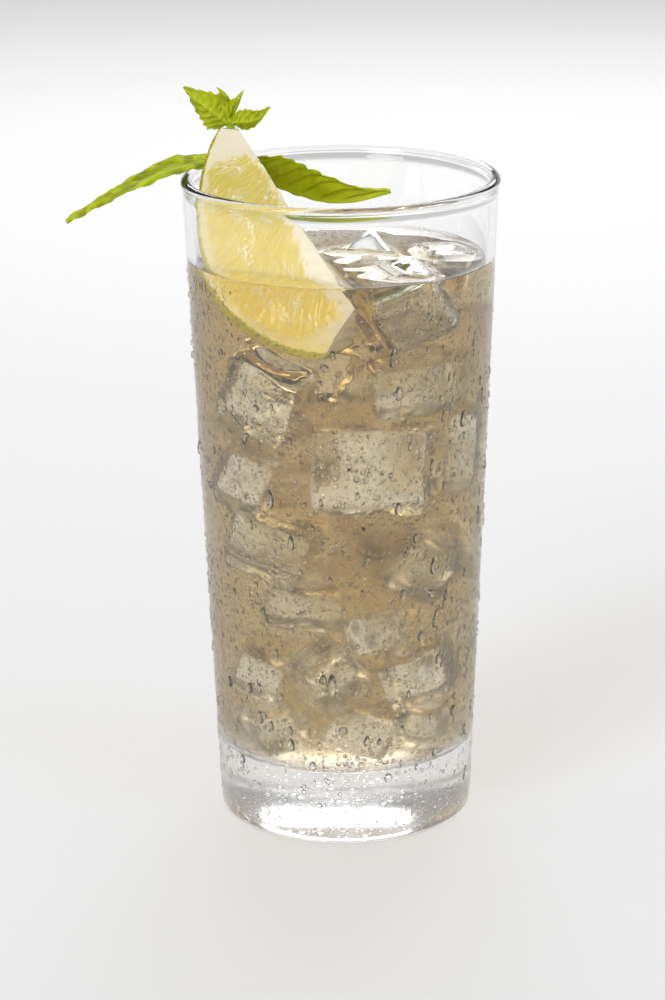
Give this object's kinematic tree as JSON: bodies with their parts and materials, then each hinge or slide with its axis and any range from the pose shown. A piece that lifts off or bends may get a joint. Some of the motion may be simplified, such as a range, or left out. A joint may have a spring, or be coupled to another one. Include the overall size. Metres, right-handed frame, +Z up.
{
  "type": "tall iced drink with lime wedge and mint",
  "caption": "Tall tapered glass of pale bourbon and ginger beer over ice, with a lime wedge tucked inside the rim and a mint sprig behind it.",
  "frame": {"origin": "middle of the foot, on the surface that the glass stands on", "axes": "+Z up along the glass; -Y is the front, where the lime shows its cut face; the long mint leaf droops over the rim towards -X"},
  "size_m": [0.0958, 0.07, 0.1655],
  "materials": {
    "clear_glass": "clear polished soda-lime glass, misted with condensation outside",
    "drink": "pale straw clear liquid with fine bubbles",
    "ice": "clear wet ice with cracks and a cloudy heart",
    "lime_flesh": "wet pale yellow-green citrus flesh, cream pith and yellow-green peel",
    "mint_leaf": "fresh bright green leaf, soft sheen, sunken veins"
  },
  "bodies": {
    "root": {"glass": "clear_glass", "drink": "drink", "ice_back": "ice", "ice_front": "ice", "ice_right": "ice", "lime_wedge": "lime_flesh", "mint_sprig": "mint_leaf"}
  },
  "joints": []
}
